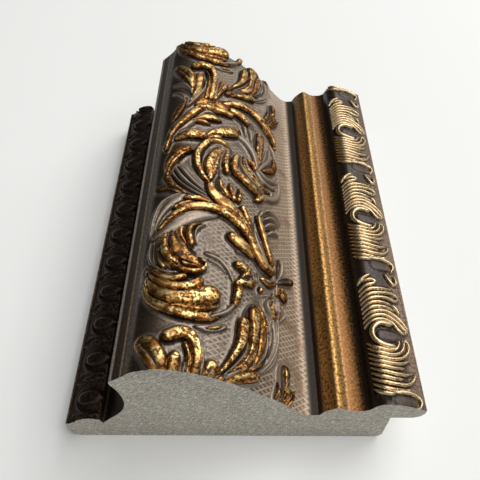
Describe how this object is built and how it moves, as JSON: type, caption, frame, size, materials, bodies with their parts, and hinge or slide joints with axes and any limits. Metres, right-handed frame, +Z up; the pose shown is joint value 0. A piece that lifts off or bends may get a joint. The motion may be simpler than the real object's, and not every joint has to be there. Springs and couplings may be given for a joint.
{
  "type": "acanthus leaf frame moulding",
  "caption": "Length of picture frame moulding with a domed band of acanthus scrolls, an egg rail, a shell band and a rabbet, cut square at both ends.",
  "frame": {"origin": "centre of the moulding's footprint, on the plane of its flat underside", "axes": "+X from the outer side with the egg rail to the sight edge, +Y along the length from the front cut to the back cut, +Z up from the flat underside to the crest"},
  "size_m": [0.1151, 0.162, 0.0516],
  "materials": {
    "antique_gilt": "gold leaf and pewter wash over dark brown, rubbed back, on moulded polystyrene foam"
  },
  "bodies": {
    "root": {"moulding": "antique_gilt"}
  },
  "joints": []
}
